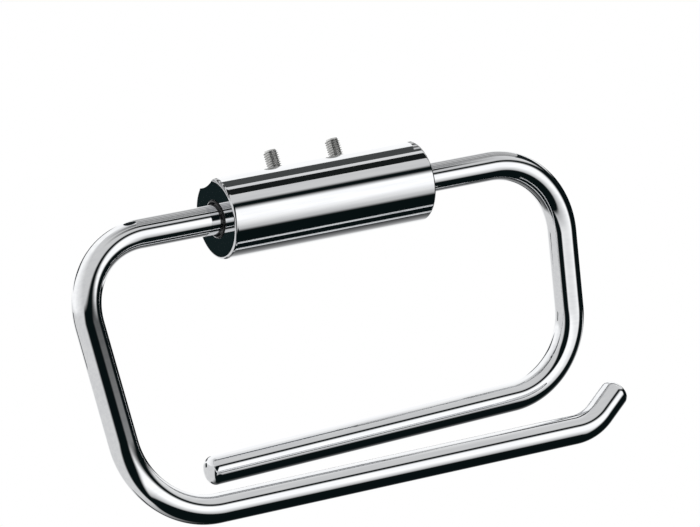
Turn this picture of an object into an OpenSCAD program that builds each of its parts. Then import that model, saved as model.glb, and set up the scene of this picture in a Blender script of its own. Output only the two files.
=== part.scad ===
/* [Rail seat] */
// Outer diameter of the round rail that the holder hangs under
rail_d = 32; // [28:0.5:45]
// Depth that the rail sinks into the top of the housing
seat_depth = 2.25; // [1.9:0.05:3]

/* [Housing] */
// Outer diameter of the housing sleeve
housing_d = 27.5; // [25:0.5:34]
// Length of the housing sleeve
housing_l = 78; // [70:1:110]
// Wall thickness of the sleeve
housing_wall = 1.5; // [1.2:0.1:2]
// Rounding of the rims of the sleeve
rim_round = 0.8; // [0.3:0.1:1]
// Width of the slot along the top of the sleeve, under the rail
slot_w = 9; // [8:0.2:10]

/* [Roll arm] */
// Diameter of the rod of both arms
rod_d = 10; // [8:0.25:10.5]
// Distance from the middle of the holder to the centreline of the roll arm's leg
roll_reach = 95; // [85:1:120]
// Height from the pivot axis down to the centreline of the carrying rod
roll_drop = 95; // [92:1:120]
// Centreline radius of the two square bends of the roll arm
roll_bend_r = 27; // [16:1:32]
// Distance from the middle of the holder to the corner where the tip turns up
tip_start = 77.5; // [60:0.5:80]
// Length of the tip, from that corner to its end
tip_l = 18.5; // [14:0.5:22]
// Angle of the tip above the carrying rod
tip_angle = 36; // [20:1:45]
// Centreline radius of the tip's bend
tip_bend_r = 20; // [12:1:24]
// Rounding of the free ends of both rods
end_round = 2.8; // [1:0.1:3.5]

/* [Brake arm] */
// Distance from the middle of the holder to the centreline of the brake arm's leg
brake_reach = 95; // [90:1:120]
// Height from the pivot axis down to the lower corner of the brake arm
brake_drop = 80; // [62:1:80]
// Centreline radius of the bends of the brake arm
brake_bend_r = 27; // [16:1:28]
// Length of the braking rod, from the lower corner to its free end
brake_l = 147.5; // [90:0.5:150]
// Angle by which the braking rod falls towards its free end
brake_droop = 1.5; // [0:0.1:1.5]
// Angle by which the brake arm stands swung to the rear at rest
brake_swing = 21.5; // [0:0.5:45]

/* [Pivots] */
// Length of each end plug
plug_l = 18; // [17.5:0.5:20]
// Wall thickness of an end plug round the pocket in its inner end
plug_wall = 2; // [1.5:0.1:2.2]
// Length of a bearing bush inside the end plug, up to its flange
bush_l = 11; // [9:0.25:11.25]
// Wall thickness of a bearing bush
bush_wall = 1.2; // [1:0.1:1.5]
// Height by which a bush stands proud of the end face
bush_proud = 0.5; // [0.2:0.1:1]
// Thickness of the flange of a bush
flange_t = 1.2; // [0.8:0.1:1.5]
// Thickness of a thrust washer
thrust_t = 0.8; // [0.5:0.1:1]
// Radial gap between the pocket and the washers and flange that lie in it
washer_gap = 1; // [0.6:0.1:1.5]
// Thickness of the light spring washer of the roll arm
roll_spring_t = 0.4; // [0.3:0.1:0.6]
// Thickness of the strong spring washer of the brake arm
brake_spring_t = 0.6; // [0.3:0.1:0.6]
// Height of each spring washer under load
spring_h = 1.1; // [0.8:0.1:1.2]
// Thickness of a retaining ring
ring_t = 1; // [0.8:0.1:1.2]
// Depth of the groove in the rod for a retaining ring
groove_depth = 0.35; // [0.2:0.05:0.6]
// Length of rod beyond the groove
stub_end = 1.3; // [1:0.1:1.5]

/* [Fixings] */
// Thread diameter of the carrier screws
screw_d = 5; // [4:0.5:5]
// Length of the carrier screws under the head
screw_l = 16; // [14:1:20]
// Distance from an end of the carrier to the screw next to it
screw_inset = 8.9; // [6.5:0.1:10]
// Thickness of the carrier between the lock washers and the rail
grip = 6.8; // [6:0.2:10]
// Thickness of a lock washer
lock_t = 1.2; // [0.8:0.1:1.6]
// Thread diameter of the grub screws
grub_d = 4; // [3:0.5:4]
// Thickness of end plug between a grub screw and the bush
grub_land = 1.9; // [1.5:0.1:3]
// Distance from the end face to the centre of a grub screw
grub_inset = 6; // [4:0.25:8]
// Angle of the grub screws below the level, at the rear
grub_angle = 30; // [0:5:60]

/* [Hidden] */
$fn = 96;

// Radial gap of a part that slides into another and is then locked
slip_fit = 0.05;
// Radial gap of the rods in their bushes
running_fit = 0.05;
// Gap between flat faces that turn past each other
face_gap = 0.05;
// Radial gap of a washer or ring that lies loosely round a rod
loose_gap = 0.3;
// Gap between the carrier and an end plug
plug_gap = 0.1;
// Overrun of every cut past the face that it leaves by
overrun = 1;
// Small edge breaks
edge_break = 0.3;
// Rounding of the proud rim of a bush
bush_round = 0.4;
// Chamfer on the inner end of a rod
stub_chamfer = 0.6;
// Angle by which each side of a bend is swept too far before it is cut square
bend_overrun = 8;

// The pivot axis lies this far below the underside of the rail
pivot_drop = housing_d / 2 - seat_depth;
face_x = housing_l / 2;
bore_d = housing_d - 2 * housing_wall;
core_d = bore_d - 2 * slip_fit;
pocket_d = core_d - 2 * plug_wall;
washer_d = pocket_d - 2 * washer_gap;
key_w = slot_w - 2 * slip_fit;
bush_bore_d = rod_d + 2 * running_fit;
bush_d = bush_bore_d + 2 * bush_wall;
loose_bore_d = rod_d + 2 * loose_gap;
carrier_l = housing_l - 2 * plug_l - 2 * plug_gap;
screw_spacing = carrier_l - 2 * screw_inset;

// Depths below an end face
flange_depth = bush_l;
thrust_depth = flange_depth + flange_t;
spring_depth = thrust_depth + thrust_t;
ring_depth = spring_depth + spring_h + face_gap;
stub_depth = ring_depth + ring_t + face_gap + stub_end;
stub_x = face_x - stub_depth;

// Retaining ring, in shares of the rod's diameter
ring_bore_d = rod_d - 2 * groove_depth + 2 * slip_fit;
ring_back_share = 0.18;
ring_front_share = 0.12;
ring_gap_share = 0.3;
ring_ear_d_share = 0.3;
ring_ear_hole_share = 0.15;
ring_ear_r_share = 0.62;
ring_ear_angle = 28;
ring_back = ring_back_share * rod_d;
ring_front = ring_front_share * rod_d;
ring_gap_w = ring_gap_share * rod_d;
ring_ear_d = ring_ear_d_share * rod_d;
ring_ear_hole_d = ring_ear_hole_share * rod_d;
ring_ear_r = ring_ear_r_share * rod_d;

// Screws, in shares of the thread diameter
head_d = 1.7 * screw_d;
head_h = screw_d;
hex_w = 0.8 * screw_d;
hex_depth = 0.5 * screw_d;
waist_d = 0.84 * screw_d;
screw_chamfer = 0.12 * screw_d;
lock_d = 1.84 * screw_d;
screw_hole_d = 1.08 * screw_d;
counterbore_d = lock_d + 2 * loose_gap;
// Spot face in the seat round each screw, for the flange of its threaded insert
spotface_d = 2 * screw_d;
spotface_depth = 0.08 * screw_d;
grub_hex_w = 0.5 * grub_d;
grub_hex_depth = 0.45 * grub_d;
grub_sink = 0.15 * grub_d;
grub_l = (housing_d - bush_d) / 2 - grub_land - grub_sink;
grub_hole_d = grub_d + 2 * slip_fit;

module at_pivot() {
    translate([0, 0, -pivot_drop]) children();
}

// Frame of the left end (side -1) or the right end (side 1): Z runs from the
// end face into the housing, along the pivot axis
module at_end(side) {
    at_pivot() translate([side * face_x, 0, 0]) rotate([0, -90 * side, 0]) children();
}

// Frame of a grub screw: Z runs from the pivot axis outwards, to the rear
module at_grub(side) {
    at_pivot() translate([side * (face_x - grub_inset), 0, 0]) rotate([-90 - grub_angle, 0, 0])
        children();
}

// Round washer or bush with a plain bore
module ring(outer_d, inner_d, h) {
    difference() {
        cylinder(d = outer_d, h = h);
        translate([0, 0, -overrun]) cylinder(d = inner_d, h = h + 2 * overrun);
    }
}

// Cylinder with a rounded rim at the top
module rounded_cylinder(d, h, round_r) {
    rotate_extrude() {
        square([d / 2, h - round_r]);
        translate([0, h - round_r]) {
            square([d / 2 - round_r, round_r]);
            translate([d / 2 - round_r, 0]) intersection() {
                circle(r = round_r);
                square(round_r);
            }
        }
    }
}

// Space that the rail takes up above the holder
module rail_space() {
    translate([-face_x - overrun, 0, rail_d / 2]) rotate([0, 90, 0])
        cylinder(d = rail_d, h = housing_l + 2 * overrun);
}

// Round core along Z with the key that fills the slot of the sleeve; up is the
// side of X that the key stands on
module keyed_core(l, up) {
    cylinder(d = core_d, h = l);
    translate([up * housing_d / 4, 0, l / 2]) cube([housing_d / 2, key_w, l], center = true);
}

module housing_sleeve() {
    color("gainsboro") difference() {
        at_end(1) rotate_extrude() {
            translate([0, rim_round]) square([housing_d / 2, housing_l - 2 * rim_round]);
            square([housing_d / 2 - rim_round, housing_l]);
            for (rim = [rim_round, housing_l - rim_round])
                translate([housing_d / 2 - rim_round, rim]) circle(r = rim_round);
        }
        at_end(1) translate([0, 0, -overrun]) cylinder(d = bore_d, h = housing_l + 2 * overrun);
        translate([-face_x - overrun, -slot_w / 2, -pivot_drop])
            cube([housing_l + 2 * overrun, slot_w, housing_d]);
        rail_space();
        for (side = [-1, 1]) at_grub(side) cylinder(d = grub_hole_d, h = housing_d);
    }
}

// Block inside the sleeve that is screwed up against the rail
module rail_carrier() {
    color("darkkhaki") difference() {
        at_pivot() translate([carrier_l / 2, 0, 0]) rotate([0, -90, 0]) keyed_core(carrier_l, 1);
        rail_space();
        for (side = [-1, 1]) translate([side * screw_spacing / 2, 0, 0]) {
            translate([0, 0, -housing_d]) cylinder(d = screw_hole_d, h = housing_d + overrun);
            translate([0, 0, -grip - housing_d]) cylinder(d = counterbore_d, h = housing_d);
            translate([0, 0, -spotface_depth]) cylinder(d = spotface_d, h = rail_d);
        }
    }
}

// Frame of a carrier screw: Z runs up from the underside of its head
module at_screw(side) {
    translate([side * screw_spacing / 2, 0, -grip - lock_t]) children();
}

// Socket-head screw along Z whose shank is waisted inside the carrier, so that
// the full thread starts at the rail; z = 0 is the underside of the head
module carrier_screw() {
    waist_l = grip + lock_t;
    difference() {
        union() {
            translate([0, 0, -head_h]) cylinder(d = head_d, h = head_h);
            cylinder(d = waist_d, h = waist_l);
            translate([0, 0, waist_l]) cylinder(d = screw_d, h = screw_l - waist_l - screw_chamfer);
            translate([0, 0, screw_l - screw_chamfer])
                cylinder(d1 = screw_d, d2 = screw_d - 2 * screw_chamfer, h = screw_chamfer);
        }
        translate([0, 0, -head_h - overrun])
            cylinder(d = hex_w / cos(30), h = hex_depth + overrun, $fn = 6);
    }
}

module carrier_screws() {
    color("silver") for (side = [-1, 1]) at_screw(side) carrier_screw();
}

// Split spring rings under the heads of the carrier screws
module lock_washers() {
    color("dimgray") for (side = [-1, 1]) at_screw(side) difference() {
        ring(lock_d, screw_d + 2 * slip_fit, lock_t);
        translate([0, 0, lock_t / 2]) rotate([30, 0, 0]) translate([0, -lock_t / 4, -lock_t])
            cube([lock_d, lock_t / 2, 2 * lock_t]);
    }
}

// Disc that closes an end of the sleeve, with the bore for the bush and the
// pocket for the washers behind it
module end_plug(side) {
    difference() {
        at_end(side) keyed_core(plug_l, side);
        rail_space();
        at_end(side) {
            translate([0, 0, -overrun]) cylinder(d = bush_d + 2 * slip_fit, h = plug_l);
            translate([0, 0, -edge_break])
                cylinder(d1 = bush_d + 4 * edge_break, d2 = bush_d, h = 2 * edge_break);
            translate([0, 0, flange_depth]) cylinder(d = pocket_d, h = plug_l);
            rotate_extrude() polygon([
                [core_d / 2 - edge_break, 0], [core_d / 2, edge_break],
                [housing_d, edge_break], [housing_d, -overrun], [core_d / 2 - edge_break, -overrun],
            ]);
        }
        at_grub(side) cylinder(d = grub_hole_d, h = housing_d);
    }
}

module left_end_plug() {
    color("lightsteelblue") end_plug(-1);
}

module right_end_plug() {
    color("lightsteelblue") end_plug(1);
}

// Flanged plastic bush; its rounded rim stands proud of the end face
module bearing_bush(side) {
    at_end(side) difference() {
        union() {
            translate([0, 0, bush_l]) mirror([0, 0, 1])
                rounded_cylinder(bush_d, bush_l + bush_proud, bush_round);
            translate([0, 0, flange_depth]) cylinder(d = washer_d, h = flange_t);
        }
        translate([0, 0, -bush_proud - overrun])
            cylinder(d = bush_bore_d, h = thrust_depth + bush_proud + 2 * overrun);
    }
}

module left_bearing_bush() {
    color("black") bearing_bush(-1);
}

module right_bearing_bush() {
    color("black") bearing_bush(1);
}

module thrust_washer(side) {
    at_end(side) translate([0, 0, thrust_depth]) ring(washer_d, loose_bore_d, thrust_t);
}

module left_thrust_washer() {
    color("goldenrod") thrust_washer(-1);
}

module right_thrust_washer() {
    color("goldenrod") thrust_washer(1);
}

// Coned disc spring: its outer edge bears on the thrust washer
module spring_washer(side, t) {
    at_end(side) translate([0, 0, spring_depth]) rotate_extrude() polygon([
        [washer_d / 2, 0], [washer_d / 2, t], [loose_bore_d / 2, spring_h],
        [loose_bore_d / 2, spring_h - t],
    ]);
}

module left_spring_washer() {
    color("slategray") spring_washer(-1, roll_spring_t);
}

module right_spring_washer() {
    color("slategray") spring_washer(1, brake_spring_t);
}

// Open retaining ring with two eared ends, thickest opposite its gap
module retaining_ring(side) {
    at_end(side) translate([0, 0, ring_depth]) difference() {
        union() {
            translate([(ring_front - ring_back) / 2, 0, 0])
                cylinder(d = ring_bore_d + ring_front + ring_back, h = ring_t);
            for (ear = [-1, 1]) rotate([0, 0, ear * ring_ear_angle]) translate([ring_ear_r, 0, 0])
                cylinder(d = ring_ear_d, h = ring_t);
        }
        translate([0, 0, -overrun]) cylinder(d = ring_bore_d, h = ring_t + 2 * overrun);
        translate([0, -ring_gap_w / 2, -overrun]) cube([rod_d, ring_gap_w, ring_t + 2 * overrun]);
        for (ear = [-1, 1]) rotate([0, 0, ear * ring_ear_angle])
            translate([ring_ear_r, 0, -overrun]) cylinder(d = ring_ear_hole_d, h = ring_t + 2 * overrun);
    }
}

module left_retaining_ring() {
    color("gray") retaining_ring(-1);
}

module right_retaining_ring() {
    color("gray") at_pivot() rotate([brake_swing, 0, 0]) translate([0, 0, pivot_drop]) retaining_ring(1);
}

// Hexagon-socket grub screws that lock the end plugs in the sleeve
module grub_screws() {
    color("silver") for (side = [-1, 1])
        at_grub(side) translate([0, 0, housing_d / 2 - grub_sink - grub_l]) difference() {
            cylinder(d = grub_d, h = grub_l);
            translate([0, 0, grub_l - grub_hex_depth])
                cylinder(d = grub_hex_w / cos(30), h = grub_hex_depth + overrun, $fn = 6);
        }
}

// Bend of the rod that starts at the origin along +X and turns towards -Z
module bend_sweep(turn, r) {
    translate([0, 0, -r]) rotate([-90, -90, 0])
        rotate_extrude(angle = turn) translate([r, 0]) circle(d = rod_d);
}

// Straight runs with a square bend between each two; the last run ends at the
// origin, along +X
module squared_rod(runs, r, i) {
    translate([-runs[i], 0, 0]) {
        rotate([0, 90, 0]) cylinder(d = rod_d, h = runs[i]);
        if (i > 0) {
            rotate([0, 0, 180]) bend_sweep(90, r);
            translate([-r, 0, -r]) rotate([0, -90, 0]) squared_rod(runs, r, i - 1);
        }
    }
}

// One side of a bend, with the rod that leads up to it, in the frame of the
// bend's middle: its centre is the origin, and it is swept too far and cut square
module bend_side(turn, r) {
    difference() {
        rotate([0, -turn, 0]) translate([0, 0, r]) {
            children();
            bend_sweep(turn + bend_overrun, r);
        }
        translate([0, -rod_d, r - rod_d]) cube([r, 2 * rod_d, 2 * rod_d]);
    }
}

// Frame of a bend's middle, for a bend that starts at the origin along +X
module at_bend(turn, r) {
    translate([0, 0, -r]) rotate([0, turn / 2, 0]) children();
}

// Squared rod with a bend of any angle at the origin, and a last run with a
// rounded end after it
module bent_rod(runs, square_r, turn, r, end_l) {
    at_bend(turn, r) bend_side(turn / 2, r) squared_rod(runs, square_r, len(runs) - 1);
    at_bend(turn, r) rotate([0, 0, 180]) bend_side(turn / 2, r) rotate([0, -90, 0])
        rounded_cylinder(rod_d, end_l, end_round);
}

// Cuts in the inner end of a rod: the groove for its retaining ring and a chamfer
module stub_cuts(side) {
    at_end(side) {
        translate([0, 0, ring_depth - face_gap])
            ring(rod_d + 2 * overrun, rod_d - 2 * groove_depth, ring_t + 2 * face_gap);
        translate([0, 0, stub_depth]) rotate_extrude() polygon([
            [rod_d / 2 + overrun, -stub_chamfer - overrun],
            [rod_d / 2 + overrun, overrun],
            [rod_d / 2 - stub_chamfer - overrun, overrun],
        ]);
    }
}

// Arm that carries the roll: leg at the left, tip turned up at the right
module roll_arm() {
    tip_tangent = tip_bend_r * tan(tip_angle / 2);
    runs = [
        roll_reach - roll_bend_r - stub_x,
        roll_drop - 2 * roll_bend_r,
        roll_reach + tip_start - roll_bend_r - tip_tangent,
    ];
    color("whitesmoke") difference() {
        at_pivot() translate([tip_start - tip_tangent, 0, -roll_drop]) rotate([180, 0, 0])
            bent_rod(runs, roll_bend_r, tip_angle, tip_bend_r, tip_l - tip_tangent);
        stub_cuts(-1);
    }
}

// Shorter arm that rests on the roll, swung to the rear, with a straight free end
module brake_arm() {
    corner_turn = 90 - brake_droop;
    corner_tangent = brake_bend_r * tan(corner_turn / 2);
    runs = [
        brake_reach - brake_bend_r - stub_x,
        brake_drop - brake_bend_r - corner_tangent,
    ];
    color("white") difference() {
        at_pivot() rotate([brake_swing, 0, 0])
            translate([brake_reach, 0, corner_tangent - brake_drop]) rotate([0, 90, 0])
                bent_rod(runs, brake_bend_r, corner_turn, brake_bend_r, brake_l - corner_tangent);
        stub_cuts(1);
    }
}

housing_sleeve();
rail_carrier();
carrier_screws();
lock_washers();
left_end_plug();
right_end_plug();
left_bearing_bush();
right_bearing_bush();
left_thrust_washer();
right_thrust_washer();
left_spring_washer();
right_spring_washer();
left_retaining_ring();
right_retaining_ring();
grub_screws();
roll_arm();
brake_arm();
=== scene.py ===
import math
import bmesh
import bpy
from mathutils import Matrix, Vector


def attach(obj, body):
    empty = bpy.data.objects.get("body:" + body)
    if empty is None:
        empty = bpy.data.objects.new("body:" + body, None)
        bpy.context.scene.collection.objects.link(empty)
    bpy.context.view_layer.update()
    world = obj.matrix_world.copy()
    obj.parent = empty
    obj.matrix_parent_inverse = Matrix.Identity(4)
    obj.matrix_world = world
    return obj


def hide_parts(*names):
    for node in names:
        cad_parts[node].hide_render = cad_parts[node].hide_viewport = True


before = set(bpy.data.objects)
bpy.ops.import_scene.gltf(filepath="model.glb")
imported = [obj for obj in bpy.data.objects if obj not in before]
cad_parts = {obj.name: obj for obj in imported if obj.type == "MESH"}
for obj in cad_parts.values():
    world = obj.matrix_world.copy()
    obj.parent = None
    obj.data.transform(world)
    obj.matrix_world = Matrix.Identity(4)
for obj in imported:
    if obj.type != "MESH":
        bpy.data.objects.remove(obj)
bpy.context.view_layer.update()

print("frame loaded")

# Lengths are in millimetres while a piece is modelled. Pieces are modelled round the
# pivot axis, which lies on X, and finishPiece moves them down below the seat.
holder = {
    "millimetre": 0.001,
    "pivotDrop": 11.5,
    "seatRadius": 16.0,
    "faceX": 39.0,
    "around": 192,
    "mergeDistance": 0.0005,
    "tolerance": 0.01,
    "sharpAngle": 28.0,
}
seatAxisZ = holder["pivotDrop"] + holder["seatRadius"]
ends = ((-1, "left"), (1, "right"))
square = math.radians(90)
xAxis = Vector((1, 0, 0))
yAxis = Vector((0, 1, 0))
zAxis = Vector((0, 0, 1))


def vertsOf(geom):
    return [g for g in geom if isinstance(g, bmesh.types.BMVert)]


def edgesOf(geom):
    return [g for g in geom if isinstance(g, bmesh.types.BMEdge)]


def unique(items):
    # each one once, in the order in which they first come
    return list(dict.fromkeys(items))


def seatHeight(y):
    return seatAxisZ - math.sqrt(holder["seatRadius"] ** 2 - y * y)


def finishPiece(name, bm, material, body, nodes, drop=True):
    bmesh.ops.remove_doubles(bm, verts=bm.verts, dist=holder["mergeDistance"])
    bmesh.ops.recalc_face_normals(bm, faces=bm.faces)
    if drop:
        bmesh.ops.translate(bm, vec=(0, 0, -holder["pivotDrop"]), verts=bm.verts)
    bmesh.ops.scale(bm, vec=(holder["millimetre"],) * 3, verts=bm.verts)
    limit = math.radians(holder["sharpAngle"])
    for face in bm.faces:
        face.smooth = True
    for edge in bm.edges:
        if len(edge.link_faces) == 2:
            edge.smooth = edge.calc_face_angle() < limit
    mesh = bpy.data.meshes.new(name)
    bm.to_mesh(mesh)
    bm.free()
    piece = bpy.data.objects.new(name, mesh)
    bpy.context.scene.collection.objects.link(piece)
    mesh.materials.append(material)
    shading = piece.modifiers.new("evenShading", "WEIGHTED_NORMAL")
    shading.keep_sharp = True
    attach(piece, body)
    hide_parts(*nodes)


# A front is the open end of a tube that is being grown: its loop of edges, its
# centre, its radius and the way that it grows.
def startTube(bm, centre, radius, way, segments):
    ring = bmesh.ops.create_circle(bm, cap_ends=False, radius=radius, segments=segments)
    turnTo = zAxis.rotation_difference(way).to_matrix().to_4x4()
    bmesh.ops.transform(bm, matrix=Matrix.Translation(centre) @ turnTo, verts=ring["verts"])
    loop = unique(edge for vert in ring["verts"] for edge in vert.link_edges)
    return {"edges": loop, "centre": Vector(centre), "radius": radius, "way": Vector(way)}


def growTube(bm, front, steps):
    for advance, radius in steps:
        grown = bmesh.ops.extrude_edge_only(bm, edges=front["edges"])["geom"]
        verts = vertsOf(grown)
        move = front["way"] * advance
        bmesh.ops.translate(bm, vec=move, verts=verts)
        front["centre"] = front["centre"] + move
        share = radius / front["radius"]
        bmesh.ops.scale(bm, vec=(share, share, share), verts=verts,
                        space=Matrix.Translation(-front["centre"]))
        front["edges"] = edgesOf(grown)
        front["radius"] = radius


def bendTube(bm, front, bendRadius, angle, axis, steps):
    centre = front["centre"] + axis.cross(front["way"]) * bendRadius
    verts = unique(vert for edge in front["edges"] for vert in edge.verts)
    swept = bmesh.ops.spin(bm, geom=verts + front["edges"], cent=centre, axis=axis,
                           dvec=(0, 0, 0), angle=angle, steps=steps, use_merge=False,
                           use_duplicate=False)
    turned = Matrix.Rotation(angle, 3, axis)
    front["edges"] = edgesOf(swept["geom_last"])
    front["centre"] = centre + turned @ (front["centre"] - centre)
    front["way"] = turned @ front["way"]


def roundingSteps(radius, arcRadius, fromAngle, toAngle, count):
    # steps round an arc that turns from the tube's own way towards its axis, in degrees
    steps = []
    start = math.radians(fromAngle)
    before = start
    for i in range(1, count + 1):
        after = math.radians(fromAngle + (toAngle - fromAngle) * i / count)
        advance = arcRadius * (math.sin(after) - math.sin(before))
        steps.append((advance, radius - arcRadius * (math.cos(start) - math.cos(after))))
        before = after
    return steps


def capTube(bm, front):
    bmesh.ops.edgeloop_fill(bm, edges=front["edges"])


def arcFrom(bm, vert, centreZ, angle, steps):
    swept = bmesh.ops.spin(bm, geom=[vert], cent=(0, 0, centreZ), axis=xAxis, dvec=(0, 0, 0),
                           angle=angle, steps=steps, use_merge=False, use_duplicate=False)
    return vertsOf(swept["geom_last"])[0]


def latheRing(bm, profile, steps):
    verts = [bm.verts.new((x, 0, radius)) for x, radius in profile]
    edges = [bm.edges.new((verts[i - 1], verts[i])) for i in range(len(verts))]
    bmesh.ops.spin(bm, geom=verts + edges, cent=(0, 0, 0), axis=xAxis, dvec=(0, 0, 0),
                   angle=math.tau, steps=steps, use_merge=True, use_duplicate=False)


def node(tree, kind, **values):
    made = tree.nodes.new(kind)
    for key, value in values.items():
        setattr(made, key, value)
    return made


def setInput(tree, socket, value):
    if isinstance(value, bpy.types.NodeSocket):
        tree.links.new(value, socket)
    else:
        socket.default_value = value


def mathNode(tree, operation, first, second=None):
    made = node(tree, "ShaderNodeMath", operation=operation)
    setInput(tree, made.inputs[0], first)
    if second is not None:
        setInput(tree, made.inputs[1], second)
    return made.outputs[0]


def fade(tree, value, start, end, low=0.0, high=1.0, smooth=True):
    made = node(tree, "ShaderNodeMapRange")
    made.interpolation_type = "SMOOTHSTEP" if smooth else "LINEAR"
    for name, given in (("Value", value), ("From Min", start), ("From Max", end),
                        ("To Min", low), ("To Max", high)):
        setInput(tree, made.inputs[name], given)
    return made.outputs["Result"]


def noise(tree, vector, scale, detail):
    made = node(tree, "ShaderNodeTexNoise")
    tree.links.new(vector, made.inputs["Vector"])
    setInput(tree, made.inputs["Scale"], scale)
    made.inputs["Detail"].default_value = detail
    return made.outputs["Fac"]


def mixColor(tree, factor, first, second):
    made = node(tree, "ShaderNodeMix", data_type="RGBA")
    setInput(tree, made.inputs[0], factor)
    setInput(tree, made.inputs[6], first)  # the sockets for colors
    setInput(tree, made.inputs[7], second)
    return made.outputs[2]


def mixShaders(tree, share, under, over):
    made = node(tree, "ShaderNodeMixShader")
    for socket, value in zip(made.inputs, (share, under, over)):
        tree.links.new(value, socket)
    return made.outputs[0]


def objectPlace(tree):
    return node(tree, "ShaderNodeTexCoord").outputs["Object"]


def split(tree, vector):
    made = node(tree, "ShaderNodeSeparateXYZ")
    tree.links.new(vector, made.inputs[0])
    return made.outputs


def glow(tree, color):
    made = node(tree, "ShaderNodeEmission")
    setInput(tree, made.inputs["Color"], color)
    return made.outputs[0]


def setSurface(tree, surface):
    tree.links.new(surface, tree.nodes["Material Output"].inputs["Surface"])


def grey(level):
    return (level, level, level, 1.0)


def opaque(color):
    return color + (1.0,)


def newMaterial(name):
    material = bpy.data.materials.new(name)
    material.use_nodes = True
    return material


# Handling haze: faint cloudy differences in gloss, with fine lines from wiping. The noise
# between the two values of a pair gives the whole range of gloss or shade.
haze = {
    "cloudDetail": 3.0, "lineDetail": 4.0, "lineStretch": (0.06, 1.0, 1.0), "lineShare": 0.35,
    "glossOver": (0.35, 0.65), "shadeOver": (0.3, 0.7),
}


def makeHazeGroup():
    tree = bpy.data.node_groups.new("handlingHaze", "ShaderNodeTree")
    for name in ("Vector", "Cloud Scale", "Line Scale", "Low", "High"):
        kind = "NodeSocketVector" if name == "Vector" else "NodeSocketFloat"
        tree.interface.new_socket(name=name, in_out="INPUT", socket_type=kind)
    for name in ("Gloss", "Lines"):
        tree.interface.new_socket(name=name, in_out="OUTPUT", socket_type="NodeSocketFloat")
    inside = node(tree, "NodeGroupInput").outputs
    outside = node(tree, "NodeGroupOutput").inputs
    cloud = noise(tree, inside["Vector"], inside["Cloud Scale"], haze["cloudDetail"])
    stretch = node(tree, "ShaderNodeMapping")
    tree.links.new(inside["Vector"], stretch.inputs["Vector"])
    stretch.inputs["Scale"].default_value = haze["lineStretch"]
    lines = noise(tree, stretch.outputs["Vector"], inside["Line Scale"], haze["lineDetail"])
    both = mathNode(tree, "ADD", mathNode(tree, "MULTIPLY", lines, haze["lineShare"]),
                    mathNode(tree, "MULTIPLY", cloud, 1 - haze["lineShare"]))
    gloss = fade(tree, both, *haze["glossOver"], inside["Low"], inside["High"], smooth=False)
    tree.links.new(gloss, outside["Gloss"])
    tree.links.new(lines, outside["Lines"])
    return tree


hazeGroup = makeHazeGroup()


def shadeAndRelief(tree, shader, finish, shade, height):
    color = mixColor(tree, shade, opaque(finish["dark"]), opaque(finish["light"]))
    tree.links.new(color, shader.inputs["Base Color"])
    relief = node(tree, "ShaderNodeBump")
    relief.inputs["Distance"].default_value = finish["reliefDepth"]
    relief.inputs["Strength"].default_value = finish["reliefStrength"]
    tree.links.new(height, relief.inputs["Height"])
    tree.links.new(relief.outputs["Normal"], shader.inputs["Normal"])


def makeMetal(name, finish):
    material = newMaterial(name)
    tree = material.node_tree
    shader = tree.nodes["Principled BSDF"]
    shader.inputs["Metallic"].default_value = 1.0
    placed = node(tree, "ShaderNodeGroup", node_tree=hazeGroup)
    tree.links.new(objectPlace(tree), placed.inputs["Vector"])
    for socket, key in (("Cloud Scale", "cloudScale"), ("Line Scale", "lineScale"),
                        ("Low", "glossLow"), ("High", "glossHigh")):
        placed.inputs[socket].default_value = finish[key]
    tree.links.new(placed.outputs["Gloss"], shader.inputs["Roughness"])
    lines = placed.outputs["Lines"]
    shadeAndRelief(tree, shader, finish, fade(tree, lines, *haze["shadeOver"]), lines)
    return material


chrome = makeMetal("polishedChrome", {
    "dark": (0.79, 0.80, 0.82), "light": (0.85, 0.86, 0.87),
    "cloudScale": 45.0, "lineScale": 900.0, "glossLow": 0.015, "glossHigh": 0.05,
    "reliefDepth": 0.000002, "reliefStrength": 0.15,
})
carrierSteel = makeMetal("carrierSteel", {
    "dark": (0.50, 0.50, 0.49), "light": (0.66, 0.66, 0.65),
    "cloudScale": 120.0, "lineScale": 1600.0, "glossLow": 0.22, "glossHigh": 0.42,
    "reliefDepth": 0.00002, "reliefStrength": 0.4,
})
stainlessSteel = makeMetal("stainlessScrews", {
    "dark": (0.60, 0.60, 0.59), "light": (0.72, 0.72, 0.71),
    "cloudScale": 200.0, "lineScale": 2400.0, "glossLow": 0.16, "glossHigh": 0.32,
    "reliefDepth": 0.00001, "reliefStrength": 0.3,
})
springSteel = makeMetal("springSteel", {
    "dark": (0.24, 0.25, 0.27), "light": (0.36, 0.37, 0.39),
    "cloudScale": 180.0, "lineScale": 1800.0, "glossLow": 0.28, "glossHigh": 0.45,
    "reliefDepth": 0.00001, "reliefStrength": 0.3,
})
bronze = makeMetal("bronze", {
    "dark": (0.52, 0.35, 0.18), "light": (0.68, 0.48, 0.27),
    "cloudScale": 150.0, "lineScale": 2000.0, "glossLow": 0.22, "glossHigh": 0.38,
    "reliefDepth": 0.00001, "reliefStrength": 0.3,
})


def makeAcetal(name, finish):
    material = newMaterial(name)
    tree = material.node_tree
    shader = tree.nodes["Principled BSDF"]
    shader.inputs["IOR"].default_value = finish["ior"]
    place = objectPlace(tree)
    grain = noise(tree, place, finish["grainScale"], finish["grainDetail"])
    gloss = fade(tree, grain, *finish["glossOver"], finish["glossLow"], finish["glossHigh"])
    tree.links.new(gloss, shader.inputs["Roughness"])
    fineGrain = noise(tree, place, finish["reliefScale"], finish["reliefDetail"])
    shadeAndRelief(tree, shader, finish, fade(tree, grain, *finish["shadeOver"]), fineGrain)
    return material


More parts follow.
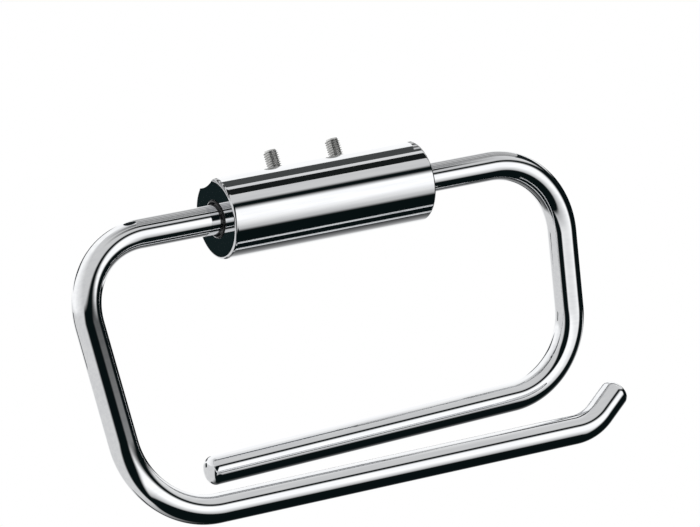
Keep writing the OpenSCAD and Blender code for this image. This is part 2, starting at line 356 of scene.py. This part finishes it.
acetal = makeAcetal("blackAcetal", {
    "dark": (0.002, 0.002, 0.0025), "light": (0.005, 0.005, 0.006), "ior": 1.46,
    "grainScale": 300.0, "grainDetail": 3.0, "glossLow": 0.04, "glossHigh": 0.09,
    "glossOver": (0.3, 0.7), "shadeOver": (0.35, 0.65),
    "reliefScale": 1200.0, "reliefDetail": 2.0, "reliefDepth": 0.000002,
    "reliefStrength": 0.3,
})
print("materials made")

# The grub screws and their holes are to the rear, so many degrees below the level
sleeve = {
    "radius": 13.75, "boreRadius": 12.25, "slotHalf": 4.5, "seatSteps": 1,
    "rimRound": 1.0, "rimSegments": 8,
    "grubRadius": 2.05, "grubInset": 6.0, "grubBelow": 30.0, "grubAround": 48,
    "grubCutLength": 10.0, "grubCutStart": 8.0,
}


def ringAngle(y, radius):
    return math.asin(y / radius)


def makeSleeve():
    bm = bmesh.new()
    y, radius = sleeve["slotHalf"], sleeve["radius"]
    drop = (seatAxisZ ** 2 + radius ** 2 - holder["seatRadius"] ** 2) / (2 * seatAxisZ)
    rimAngle = math.acos(drop / radius)
    seatEdge = ringAngle(radius * math.sin(rimAngle), holder["seatRadius"])
    seatSweep = seatEdge - ringAngle(y, holder["seatRadius"])
    first = bm.verts.new((-holder["faceX"], y, seatHeight(y)))
    # round the outside, from one side of the slot to the other, and back along the bore
    last = arcFrom(bm, first, seatAxisZ, seatSweep, sleeve["seatSteps"])
    last = arcFrom(bm, last, 0, -(math.tau - 2 * rimAngle), holder["around"])
    last = arcFrom(bm, last, seatAxisZ, seatSweep, sleeve["seatSteps"])
    slotAngle = ringAngle(y, sleeve["boreRadius"])
    inner = bm.verts.new((-holder["faceX"], -y, sleeve["boreRadius"] * math.cos(slotAngle)))
    bm.edges.new((last, inner))
    last = arcFrom(bm, inner, 0, math.tau - 2 * slotAngle, holder["around"])
    bm.edges.new((last, first))
    bmesh.ops.remove_doubles(bm, verts=bm.verts, dist=holder["mergeDistance"])
    face = bmesh.ops.edgeloop_fill(bm, edges=bm.edges)["faces"]
    far = bmesh.ops.extrude_face_region(bm, geom=face)["geom"]
    bmesh.ops.translate(bm, vec=(2 * holder["faceX"], 0, 0), verts=vertsOf(far))
    bmesh.ops.recalc_face_normals(bm, faces=bm.faces)
    near = holder["tolerance"]
    rims = []
    for edge in bm.edges:
        onEnd = all(abs(abs(v.co.x) - holder["faceX"]) < near for v in edge.verts)
        level = abs(edge.verts[0].co.x - edge.verts[1].co.x) < near
        outer = all(abs(v.co.yz.length - radius) < near for v in edge.verts)
        if onEnd and level and outer:
            rims.append(edge)
    bmesh.ops.bevel(bm, geom=rims, offset=sleeve["rimRound"], offset_type="OFFSET",
                    affect="EDGES", segments=sleeve["rimSegments"], profile=0.5, material=-1,
                    loop_slide=True, clamp_overlap=False)
    return bm


def grubPlace(side):
    # from upright on Z to the grub screw's place near one end
    tilt = Matrix.Rotation(math.radians(-90 - sleeve["grubBelow"]), 4, "X")
    slide = Matrix.Translation((side * (holder["faceX"] - sleeve["grubInset"]), 0, 0))
    return slide @ tilt


def grubCutters(start):
    # short bars on the two grub screws' axes
    bm = bmesh.new()
    length = sleeve["grubCutLength"]
    for side in (-1, 1):
        made = bmesh.ops.create_cone(bm, cap_ends=True, segments=sleeve["grubAround"],
                                     radius1=sleeve["grubRadius"],
                                     radius2=sleeve["grubRadius"], depth=length)
        bmesh.ops.translate(bm, vec=(0, 0, start + length / 2), verts=made["verts"])
        bmesh.ops.transform(bm, matrix=grubPlace(side), verts=made["verts"])
    return bm


def cutBy(bm, cutter):
    # exact difference of two closed meshes, as a new bmesh
    meshes = []
    for name, source in (("solid", bm), ("cutter", cutter)):
        bmesh.ops.recalc_face_normals(source, faces=source.faces)
        mesh = bpy.data.meshes.new(name)
        source.to_mesh(mesh)
        source.free()
        meshes.append(mesh)
    objects = [bpy.data.objects.new(mesh.name, mesh) for mesh in meshes]
    for made in objects:
        bpy.context.scene.collection.objects.link(made)
    cut = objects[0].modifiers.new("cut", "BOOLEAN")
    cut.operation = "DIFFERENCE"
    cut.solver = "EXACT"
    cut.object = objects[1]
    bpy.context.view_layer.update()
    evaluated = objects[0].evaluated_get(bpy.context.evaluated_depsgraph_get())
    result = bmesh.new()
    result.from_mesh(evaluated.to_mesh())
    evaluated.to_mesh_clear()
    for made, mesh in zip(objects, meshes):
        bpy.data.objects.remove(made)
        bpy.data.meshes.remove(mesh)
    return result


finishPiece("housingSleeve", cutBy(makeSleeve(), grubCutters(sleeve["grubCutStart"])), chrome,
            "housing", ["housing_sleeve"])
print("sleeve made")

plug = {
    "length": 18.0, "radius": 12.2, "keyHalf": 4.45,
    "boreRadius": 6.3, "mouthRadius": 6.6, "mouthDepth": 0.3,
    "pocketDepth": 11.0, "pocketRadius": 10.2, "seatSteps": 24, "overCut": 1.0,
    "grubCutStart": 4.0,
}


def plugBore():
    # the bore for the bush, its mouth and the pocket behind it, overlong at both ends
    bm = bmesh.new()
    over = plug["overCut"]
    front = startTube(bm, (-over, 0, 0), plug["mouthRadius"] + over, xAxis, holder["around"])
    capTube(bm, front)
    growTube(bm, front, [
        (over + plug["mouthDepth"], plug["boreRadius"]),
        (plug["pocketDepth"] - plug["mouthDepth"], plug["boreRadius"]),
        (0, plug["pocketRadius"]),
        (plug["length"] - plug["pocketDepth"] + over, plug["pocketRadius"]),
    ])
    capTube(bm, front)
    return bm


def makePlug(side):
    bm = bmesh.new()
    y, radius = plug["keyHalf"], plug["radius"]
    sweep = 2 * ringAngle(y, holder["seatRadius"])
    first = bm.verts.new((0, -y, seatHeight(y)))
    last = arcFrom(bm, first, seatAxisZ, sweep, plug["seatSteps"])
    keyAngle = ringAngle(y, radius)
    below = bm.verts.new((0, y, radius * math.cos(keyAngle)))
    bm.edges.new((last, below))
    last = arcFrom(bm, below, 0, -(math.tau - 2 * keyAngle), holder["around"])
    bm.edges.new((last, first))
    bmesh.ops.remove_doubles(bm, verts=bm.verts, dist=holder["mergeDistance"])
    front = bmesh.ops.edgeloop_fill(bm, edges=bm.edges)["faces"]
    back = bmesh.ops.extrude_face_region(bm, geom=front)["geom"]
    bmesh.ops.translate(bm, vec=(plug["length"], 0, 0), verts=vertsOf(back))
    bm = cutBy(bm, plugBore())
    bmesh.ops.translate(bm, vec=(-holder["faceX"], 0, 0), verts=bm.verts)
    if side > 0:
        bmesh.ops.rotate(bm, cent=(0, 0, 0), matrix=Matrix.Rotation(math.pi, 3, "Z"),
                         verts=bm.verts)
    return bm


for side, end in ends:
    finishPiece(end + "EndPlug", cutBy(makePlug(side), grubCutters(plug["grubCutStart"])),
                chrome, "housing", [end + "_end_plug"])
print("end plugs made")

bush = {
    "boreRadius": 5.05, "radius": 6.25, "proud": 0.5, "round": 0.4, "roundSteps": 6,
    "length": 11.0, "flangeRadius": 9.2, "flangeThickness": 1.2, "leadIn": 0.2,
}


def makeBush(side):
    bm = bmesh.new()
    nose = [(-bush["proud"] + bush["leadIn"], bush["boreRadius"]),
            (-bush["proud"], bush["boreRadius"] + bush["leadIn"])]
    for i in range(bush["roundSteps"] + 1):
        angle = square * i / bush["roundSteps"]
        nose.append((-bush["proud"] + bush["round"] * (1 - math.cos(angle)),
                     bush["radius"] - bush["round"] * (1 - math.sin(angle))))
    back = bush["length"] + bush["flangeThickness"]
    tail = [(bush["length"], bush["radius"]), (bush["length"], bush["flangeRadius"]),
            (back, bush["flangeRadius"]), (back, bush["boreRadius"])]
    profile = [(side * (holder["faceX"] - depth), radius) for depth, radius in nose + tail]
    latheRing(bm, profile, holder["around"])
    return bm


for side, end in ends:
    finishPiece(end + "BearingBush", makeBush(side), acetal, "housing",
                [end + "_bearing_bush"])
print("bushes made")

# The end of a rod turns in by endTurn degrees round a small arc, and the dome goes on from
# there to domeTurn
rod = {
    "radius": 5.0, "around": 96, "stubX": 22.5, "stubChamfer": 0.6, "stubEnd": 0.7,
    "grooveWidth": 1.1, "grooveRadius": 4.65, "bendSteps": 40,
    "endRound": 2.8, "endTurn": 76.0, "domeTurn": 89.0, "endSteps": 12,
}
rollArm = {
    "reach": 95.0, "drop": 95.0, "bend": 27.0,
    "tipStart": 77.5, "tipLength": 18.5, "tipAngle": 36.0, "tipBend": 20.0, "tipSteps": 20,
}
brakeArm = {
    "reach": 95.0, "drop": 80.0, "bend": 27.0, "length": 147.5, "droop": 1.5, "swing": 21.5,
}


def runTo(bm, front, length):
    growTube(bm, front, [(length, rod["radius"])])


def startRod(bm, side, arm):
    # from the stub with its groove, out of the housing and round the first bend
    front = startTube(bm, (side * rod["stubX"], 0, 0), rod["radius"] - rod["stubChamfer"],
                      xAxis * side, rod["around"])
    capTube(bm, front)
    growTube(bm, front, [
        (rod["stubChamfer"], rod["radius"]), (rod["stubEnd"], rod["radius"]),
        (0, rod["grooveRadius"]), (rod["grooveWidth"], rod["grooveRadius"]),
        (0, rod["radius"]),
    ])
    runTo(bm, front, arm["reach"] - arm["bend"] - abs(front["centre"].x))
    bendTube(bm, front, arm["bend"], square, yAxis * side, rod["bendSteps"])
    return front


def endRod(bm, front, length):
    # a small arc round the edge passes into a wide one, so that the end is slightly domed
    steps = roundingSteps(rod["radius"], rod["endRound"], 0, rod["endTurn"], rod["endSteps"])
    shoulder = steps[-1][1]
    domeRadius = shoulder / math.cos(math.radians(rod["endTurn"]))
    steps += roundingSteps(shoulder, domeRadius, rod["endTurn"], rod["domeTurn"],
                           rod["endSteps"])
    runTo(bm, front, length - sum(advance for advance, radius in steps))
    growTube(bm, front, steps)
    capTube(bm, front)


def makeRollArm():
    bm = bmesh.new()
    tip = math.radians(rollArm["tipAngle"])
    tangent = rollArm["tipBend"] * math.tan(tip / 2)
    front = startRod(bm, -1, rollArm)
    runTo(bm, front, rollArm["drop"] - 2 * rollArm["bend"])
    bendTube(bm, front, rollArm["bend"], square, -yAxis, rod["bendSteps"])
    runTo(bm, front, rollArm["reach"] + rollArm["tipStart"] - rollArm["bend"] - tangent)
    bendTube(bm, front, rollArm["tipBend"], tip, -yAxis, rollArm["tipSteps"])
    endRod(bm, front, rollArm["tipLength"] - tangent)
    return bm


def makeBrakeArm():
    bm = bmesh.new()
    corner = square - math.radians(brakeArm["droop"])
    tangent = brakeArm["bend"] * math.tan(corner / 2)
    front = startRod(bm, 1, brakeArm)
    runTo(bm, front, brakeArm["drop"] - brakeArm["bend"] - tangent)
    bendTube(bm, front, brakeArm["bend"], corner, yAxis, rod["bendSteps"])
    endRod(bm, front, brakeArm["length"] - tangent)
    bmesh.ops.rotate(bm, cent=(0, 0, 0), verts=bm.verts,
                     matrix=Matrix.Rotation(math.radians(brakeArm["swing"]), 3, "X"))
    return bm


finishPiece("rollArm", makeRollArm(), chrome, "roll_arm", ["roll_arm"])
finishPiece("brakeArm", makeBrakeArm(), chrome, "brake_arm", ["brake_arm"])
print("arms made")

# The thread's crest and root are shares of its pitch: half of the crest's flat, and where
# the root's ends
carrierScrew = {
    "spacing": 24.0, "headUnder": -8.0, "headRadius": 4.25, "headHeight": 5.0,
    "hexAcross": 4.0, "hexDepth": 2.5, "waistRadius": 2.1, "waistLength": 8.0,
    "length": 16.0, "threadRadius": 2.5, "coreRadius": 2.0, "pitch": 0.8,
    "crestShare": 1 / 16, "rootShare": 3 / 16, "spareTurns": 2, "mergeDistance": 0.002,
    "leadIn": 0.6, "pointBreak": 0.1, "headBreak": 0.35, "around": 48,
}
grubScrew = {
    "radius": 2.0, "length": 5.0, "sink": 0.6, "hexAcross": 2.0, "hexDepth": 1.8,
    "breakEdge": 0.25, "around": 48,
}


def hexSocket(bm, rimLoop, z, spec, way):
    # a hexagon with as many vertices as the rim round it, joined to it and sunk
    corner = spec["hexAcross"] / math.sqrt(3)
    made = bmesh.ops.create_circle(bm, cap_ends=False, segments=6, radius=corner)
    bmesh.ops.translate(bm, vec=(0, 0, z), verts=made["verts"])
    sides = unique(edge for vert in made["verts"] for edge in vert.link_edges)
    bmesh.ops.subdivide_edges(bm, edges=sides, cuts=len(rimLoop) // 6 - 1)
    near = holder["tolerance"]
    hexLoop = [e for e in bm.edges if not e.link_faces and all(
        abs(v.co.z - z) < near and v.co.xy.length < corner + near for v in e.verts)]
    bmesh.ops.bridge_loops(bm, edges=rimLoop + hexLoop)
    sunk = bmesh.ops.extrude_edge_only(bm, edges=hexLoop)["geom"]
    bmesh.ops.translate(bm, vec=(0, 0, way * spec["hexDepth"]), verts=vertsOf(sunk))
    bmesh.ops.edgeloop_fill(bm, edges=edgesOf(sunk))


def threadSurface(bm, spec, z0, z1):
    # one tooth of the thread is turned and lifted round Z, past both ends, then cut square
    pitch, core, outer = spec["pitch"], spec["coreRadius"], spec["threadRadius"]
    crest = pitch * spec["crestShare"]
    root = pitch * spec["rootShare"]
    tooth = [(core, 0), (core, root), (outer, pitch / 2 - crest), (outer, pitch / 2 + crest),
             (core, pitch - root), (core, pitch)]
    verts = [bm.verts.new((radius, 0, z0 - pitch + z)) for radius, z in tooth]
    edges = [bm.edges.new(pair) for pair in zip(verts, verts[1:])]
    turns = int((z1 - z0) / pitch) + spec["spareTurns"]
    bmesh.ops.spin(bm, geom=verts + edges, cent=(0, 0, 0), axis=zAxis,
                   dvec=(0, 0, pitch / spec["around"]), angle=math.tau * turns,
                   steps=turns * spec["around"], use_merge=False, use_duplicate=False)
    bmesh.ops.remove_doubles(bm, verts=bm.verts, dist=spec["mergeDistance"])
    for height, way in ((z0, -1), (z1, 1)):
        cut = bmesh.ops.bisect_plane(bm, geom=bm.verts[:] + bm.edges[:] + bm.faces[:],
                                     plane_co=(0, 0, height), plane_no=(0, 0, way),
                                     clear_outer=True)
        bmesh.ops.edgeloop_fill(bm, edges=edgesOf(cut["geom_cut"]))


def makeCarrierScrew(centreX):
    # modelled with the underside of its head at the level of z = 0
    spec = carrierScrew
    bm = bmesh.new()
    threadEnd = spec["length"] - spec["leadIn"]
    threadSurface(bm, spec, spec["waistLength"], threadEnd)
    body = startTube(bm, (0, 0, -spec["headHeight"]), spec["headRadius"] - spec["headBreak"],
                     zAxis, spec["around"])
    rim = body["edges"]
    growTube(bm, body, [(spec["headBreak"], spec["headRadius"]),
                        (spec["headHeight"] - spec["headBreak"], spec["headRadius"]),
                        (0, spec["waistRadius"]), (spec["waistLength"], spec["waistRadius"])])
    capTube(bm, body)
    hexSocket(bm, rim, -spec["headHeight"], spec, 1)
    point = startTube(bm, (0, 0, threadEnd), spec["coreRadius"], zAxis, spec["around"])
    capTube(bm, point)
    growTube(bm, point, [(spec["leadIn"], spec["coreRadius"] - spec["pointBreak"])])
    capTube(bm, point)
    bmesh.ops.translate(bm, vec=(centreX, 0, spec["headUnder"]), verts=bm.verts)
    return bm


def makeGrubScrew(side):
    spec = grubScrew
    bm = bmesh.new()
    top = sleeve["radius"] - spec["sink"]
    body = startTube(bm, (0, 0, top - spec["length"]), spec["radius"] - spec["breakEdge"],
                     zAxis, spec["around"])
    capTube(bm, body)
    growTube(bm, body, [(spec["breakEdge"], spec["radius"]),
                        (spec["length"] - 2 * spec["breakEdge"], spec["radius"]),
                        (spec["breakEdge"], spec["radius"] - spec["breakEdge"])])
    hexSocket(bm, body["edges"], top, spec, -1)
    bmesh.ops.transform(bm, matrix=grubPlace(side), verts=bm.verts)
    return bm


def joined(parts):
    whole = bmesh.new()
    for part in parts:
        mesh = bpy.data.meshes.new("part")
        part.to_mesh(mesh)
        part.free()
        whole.from_mesh(mesh)
        bpy.data.meshes.remove(mesh)
    return whole


half = carrierScrew["spacing"] / 2
finishPiece("carrierScrews", joined([makeCarrierScrew(-half), makeCarrierScrew(half)]),
            stainlessSteel, "housing", ["carrier_screws"], drop=False)
finishPiece("grubScrews", joined([makeGrubScrew(-1), makeGrubScrew(1)]), stainlessSteel,
            "housing", ["grub_screws"])
print("screws made")

keptFinishes = {
    "rail_carrier": carrierSteel, "lock_washers": springSteel,
    "left_thrust_washer": bronze, "right_thrust_washer": bronze,
    "left_spring_washer": springSteel, "right_spring_washer": springSteel,
    "left_retaining_ring": springSteel, "right_retaining_ring": springSteel,
}
for name, material in keptFinishes.items():
    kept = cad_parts[name]
    kept.data.materials.clear()
    kept.data.materials.append(material)
print("kept pieces finished")

studio = {
    "floorZ": -0.7, "floorSize": 40.0, "floorColor": (0.86, 0.86, 0.86),
    "floorRoughness": 0.9, "floorClear": (1.5, 5.5),
    "plainLevel": 0.8, "domeRadius": 30.0, "domeAcross": 48, "domeUp": 24,
    "ceiling": 0.68, "ceilingRear": 1.12, "rearWall": 1.0, "sideWall": 0.74,
    "darkFloor": (0.004, 0.008, 0.0085), "dark": (0.003, 0.0062, 0.0067),
    "rearCard": (0.03, 0.036, 0.037), "softbox": 1.2, "softboxFoot": 0.47,
    "softboxLean": 1.37,
}
# Edges of the studio's parts in degrees, from where a part begins to where it is full. Turn
# is 0 to the front, 90 to the right and 180 to the rear, and rise is above the level. The
# last two values of darkReach are degrees of turn.
turnEdges = {
    "rearRight": (97, 111), "rearLeft": (-168, -179),
    "darkLeft": (-72, -56), "darkRight": (110, 96), "boxLeft": (-9, 5), "boxRight": (64, 50),
    "ceilingRear": (45, 125), "rearCards": (154, 160),
}
riseEdges = {
    "floor": (-49, -56), "darkReach": (-10, 2, 0, 40),
    "boxFoot": (-49, -42), "boxFade": (-42, -22), "boxHead": (11.2, -0.4),
    "ceiling": (16.5, 24), "highCardFoot": (27, 30), "highCardHead": (46, 42),
    "lowCardHead": (-15, -17), "lowCardFoot": (-29, -26),
}


# White to the camera, metal and glass, and a plain level to everything else
def makeWorld():
    world = bpy.data.worlds.new("studio")
    bpy.context.scene.world = world
    world.use_nodes = True
    tree = world.node_tree
    path = node(tree, "ShaderNodeLightPath")
    seen = mathNode(tree, "MAXIMUM", path.outputs["Is Camera Ray"],
                    path.outputs["Is Glossy Ray"])
    seen = mathNode(tree, "MAXIMUM", seen, path.outputs["Is Transmission Ray"])
    shown = mixColor(tree, seen, grey(studio["plainLevel"]), grey(1.0))
    tree.links.new(shown, tree.nodes["Background"].inputs["Color"])
    tree.nodes["Background"].inputs["Strength"].default_value = 1.0


# The studio's walls, ceiling, softbox and dark cards, far off and seen in polished metal only
def studioLight(tree):
    straight = node(tree, "ShaderNodeVectorMath", operation="NORMALIZE")
    tree.links.new(objectPlace(tree), straight.inputs[0])
    way = split(tree, straight.outputs[0])
    toFront = mathNode(tree, "MULTIPLY", way["Y"], -1.0)
    turn = mathNode(tree, "DEGREES", mathNode(tree, "ARCTAN2", way["X"], toFront))
    rise = mathNode(tree, "DEGREES", mathNode(tree, "ARCSINE", way["Z"]))
    aside = mathNode(tree, "ABSOLUTE", turn)

    def turned(name, value=turn, smooth=True):
        return fade(tree, value, *turnEdges[name], smooth=smooth)

    def raised(name):
        return fade(tree, rise, *riseEdges[name])

    def times(*masks):
        result = masks[0]
        for mask in masks[1:]:
            result = mathNode(tree, "MULTIPLY", result, mask)
        return result

    def laid(under, over, mask):
        return mixColor(tree, mask, under, over)

    # pale walls, brightest at the rear right, and a dark floor
    rear = mathNode(tree, "MAXIMUM", turned("rearRight"), turned("rearLeft"))
    light = laid(grey(studio["sideWall"]), grey(studio["rearWall"]), rear)
    light = laid(light, opaque(studio["darkFloor"]), raised("floor"))
    # the dark half of the studio, in front and at the right, where it reaches further
    # round above the level
    leftEdge = mathNode(tree, "SUBTRACT", turn, rise)
    rightEdge = mathNode(tree, "SUBTRACT", turn, raised("darkReach"))
    inFront = times(turned("darkLeft", leftEdge), turned("darkRight", rightEdge))
    light = laid(light, opaque(studio["dark"]), inFront)
    # tall softbox to the right of the camera; it leans, and fades towards its foot
    leaning = mathNode(tree, "MULTIPLY", rise, studio["softboxLean"])
    boxLeft = mathNode(tree, "SUBTRACT", turn, leaning)
    dimmed = fade(tree, rise, *riseEdges["boxFade"], studio["softboxFoot"], smooth=False)
    box = times(turned("boxLeft", boxLeft), turned("boxRight"), raised("boxFoot"),
                raised("boxHead"), dimmed)
    light = laid(light, grey(studio["softbox"]), box)
    # pale ceiling over it all, brighter to the rear
    toRear = turned("ceilingRear", aside, smooth=False)
    ceiling = laid(grey(studio["ceiling"]), grey(studio["ceilingRear"]), toRear)
    light = laid(light, ceiling, raised("ceiling"))
    # two dark cards at the rear, one high and one low, that the back of the housing shows
    atRear = turned("rearCards", aside)
    high = times(atRear, raised("highCardFoot"), raised("highCardHead"))
    lower = times(atRear, raised("lowCardHead"), raised("lowCardFoot"))
    return laid(light, opaque(studio["rearCard"]), mathNode(tree, "MAXIMUM", high, lower))


def staged(name, bm):
    mesh = bpy.data.meshes.new(name)
    bm.to_mesh(mesh)
    bm.free()
    mesh.materials.append(newMaterial(name))
    thing = bpy.data.objects.new(name, mesh)
    bpy.context.scene.collection.objects.link(thing)
    return thing


def glossyOnly(thing):
    thing.visible_camera = False
    thing.visible_diffuse = False
    thing.visible_shadow = False
    thing.visible_volume_scatter = False


def makeDome():
    bm = bmesh.new()
    bmesh.ops.create_uvsphere(bm, u_segments=studio["domeAcross"],
                              v_segments=studio["domeUp"], radius=studio["domeRadius"])
    dome = staged("studioDome", bm)
    tree = dome.data.materials[0].node_tree
    setSurface(tree, glow(tree, studioLight(tree)))
    glossyOnly(dome)


# Cards near the holder, in metres: two dark strips close over the housing that fade out
# at both ends, grey ones over both rods with dark ones further out, of which the left one is
# oval, a dark one behind and to the left, which the housing's left end shows, and a wide one
# under the arms that fades out to the rear and to the left. A card may lean about X and turn
# about Z, in degrees. Lines are at y, with a half width and a level, and a share of the half
# width has the full level.
rodLines = ((-0.0090, 0.0010, 0.15), (-0.0062, 0.0011, 0.08), (-0.0024, 0.0013, 0.22),
            (0.0030, 0.0017, 0.3))
lineCoreShare = 0.4
cards = {
    "overheadCard": {"place": (0, -0.02065, 0.0063), "size": (0.176, 0.0083),
                     "color": (0.010, 0.012, 0.012), "fadeEnds": (0.056, 0.087)},
    "seatCard": {"place": (0, -0.0104, 0.0045), "size": (0.176, 0.0056),
                 "color": (0.066, 0.070, 0.070), "fadeEnds": (0.056, 0.087)},
    "leftRodCard": {"place": (-0.04975, 0, 0.004), "size": (0.0295, 0.022),
                    "color": (0.62, 0.62, 0.62), "lines": rodLines},
    "leftDarkCard": {"place": (-0.0673, 0, 0.004), "size": (0.0064, 0.012),
                     "color": (0.010, 0.014, 0.015), "ovalSegments": 64},
    "rightRodCard": {"place": (0.0675, 0, 0.004), "size": (0.056, 0.022),
                     "color": (0.62, 0.62, 0.62), "lines": rodLines},
    "rightDarkCard": {"place": (0.348, 0, 0.004), "size": (0.505, 0.022),
                      "color": (0.010, 0.014, 0.015)},
    "endCard": {"place": (-0.281, 0.430, 0.0665), "size": (0.095, 0.095),
                "lean": 90, "turn": 29.3, "color": (0.008, 0.015, 0.016)},
    "lowCard": {"place": (0, 0.315, -0.1665), "size": (1.3, 0.67),
                "color": (0.003, 0.0062, 0.0067),
                "fadeRear": (0.074, 0.53), "fadeLeft": (-0.05, -0.16)},
}


def makeCard(name, spec):
    bm = bmesh.new()
    if "ovalSegments" in spec:
        bmesh.ops.create_circle(bm, cap_ends=True, segments=spec["ovalSegments"], radius=0.5)
    else:
        bmesh.ops.create_grid(bm, x_segments=2, y_segments=1, size=0.5)
    bmesh.ops.scale(bm, vec=spec["size"] + (1,), verts=bm.verts)
    leaning = Matrix.Rotation(math.radians(spec.get("lean", 0)), 4, "X")
    turning = Matrix.Rotation(math.radians(spec.get("turn", 0)), 4, "Z")
    bmesh.ops.transform(bm, matrix=Matrix.Translation(spec["place"]) @ turning @ leaning,
                        verts=bm.verts)
    card = staged(name, bm)
    tree = card.data.materials[0].node_tree
    place = split(tree, objectPlace(tree))
    light = opaque(spec["color"])
    for y, halfWidth, level in spec.get("lines", ()):
        off = mathNode(tree, "ABSOLUTE", mathNode(tree, "SUBTRACT", place["Y"], y))
        line = fade(tree, off, halfWidth, halfWidth * lineCoreShare)
        light = mixColor(tree, line, light, grey(level))
    surface = glow(tree, light)
    outward = mathNode(tree, "ABSOLUTE", place["X"])
    clear = None
    for key, along in (("fadeRear", place["Y"]), ("fadeLeft", place["X"]),
                       ("fadeEnds", outward)):
        if key in spec:
            faded = fade(tree, along, *spec[key], smooth=key != "fadeRear")
            clear = faded if clear is None else mathNode(tree, "MAXIMUM", clear, faded)
    if clear is not None:
        transparent = node(tree, "ShaderNodeBsdfTransparent").outputs[0]
        surface = mixShaders(tree, clear, surface, transparent)
    setSurface(tree, surface)
    glossyOnly(card)


def makeFloor():
    bm = bmesh.new()
    bmesh.ops.create_grid(bm, x_segments=8, y_segments=8, size=studio["floorSize"] / 2)
    bmesh.ops.translate(bm, vec=(0, 0, studio["floorZ"]), verts=bm.verts)
    floor = staged("floor", bm)
    floor.visible_glossy = False
    tree = floor.data.materials[0].node_tree
    shader = tree.nodes["Principled BSDF"]
    shader.inputs["Base Color"].default_value = opaque(studio["floorColor"])
    shader.inputs["Roughness"].default_value = studio["floorRoughness"]
    # far away the floor passes into the white background, and from below it is clear
    away = node(tree, "ShaderNodeVectorMath", operation="LENGTH")
    tree.links.new(objectPlace(tree), away.inputs[0])
    far = fade(tree, away.outputs["Value"], *studio["floorClear"])
    path = node(tree, "ShaderNodeLightPath")
    far = mathNode(tree, "MULTIPLY", far, path.outputs["Is Camera Ray"])
    surface = mixShaders(tree, far, shader.outputs[0], glow(tree, grey(1.0)))
    underneath = node(tree, "ShaderNodeNewGeometry").outputs["Backfacing"]
    transparent = node(tree, "ShaderNodeBsdfTransparent").outputs[0]
    setSurface(tree, mixShaders(tree, underneath, surface, transparent))


keyLamp = {"place": (1.2, -1.6, 1.3), "target": (0, 0, -0.05), "size": 0.9, "power": 14}


def makeLamp(name, spec):
    data = bpy.data.lights.new(name, "AREA")
    data.shape = "DISK"
    data.size = spec["size"]
    data.energy = spec["power"]
    lamp = bpy.data.objects.new(name, data)
    way = Vector(spec["target"]) - Vector(spec["place"])
    facing = way.to_track_quat("-Z", "Y").to_matrix().to_4x4()
    lamp.matrix_world = Matrix.Translation(spec["place"]) @ facing
    bpy.context.scene.collection.objects.link(lamp)
    lamp.visible_glossy = False
    lamp.visible_camera = False


makeWorld()
makeDome()
for name, spec in cards.items():
    makeCard(name, spec)
makeFloor()
makeLamp("keyLamp", keyLamp)
print("studio made")

lens = {
    "place": (-0.9584488, -1.7164506, -0.3452592), "focal": 305.06, "sensor": 36.0,
    "azimuth": 29.3173235, "elevation": 8.95417038, "roll": -16.27698881,
    "near": 0.05, "far": 60.0,
}


def makeCamera():
    data = bpy.data.cameras.new("camera")
    data.lens = lens["focal"]
    data.sensor_width = lens["sensor"]
    data.clip_start = lens["near"]
    data.clip_end = lens["far"]
    camera = bpy.data.objects.new("camera", data)
    level = Matrix.Rotation(math.radians(90 + lens["elevation"]), 4, "X")
    turned = Matrix.Rotation(math.radians(-lens["azimuth"]), 4, "Z") @ level
    rolled = turned @ Matrix.Rotation(math.radians(lens["roll"]), 4, "Z")
    camera.matrix_world = Matrix.Translation(lens["place"]) @ rolled
    bpy.context.scene.collection.objects.link(camera)
    bpy.context.scene.camera = camera


makeCamera()
bpy.context.scene.view_settings.view_transform = "Standard"
print("camera set")
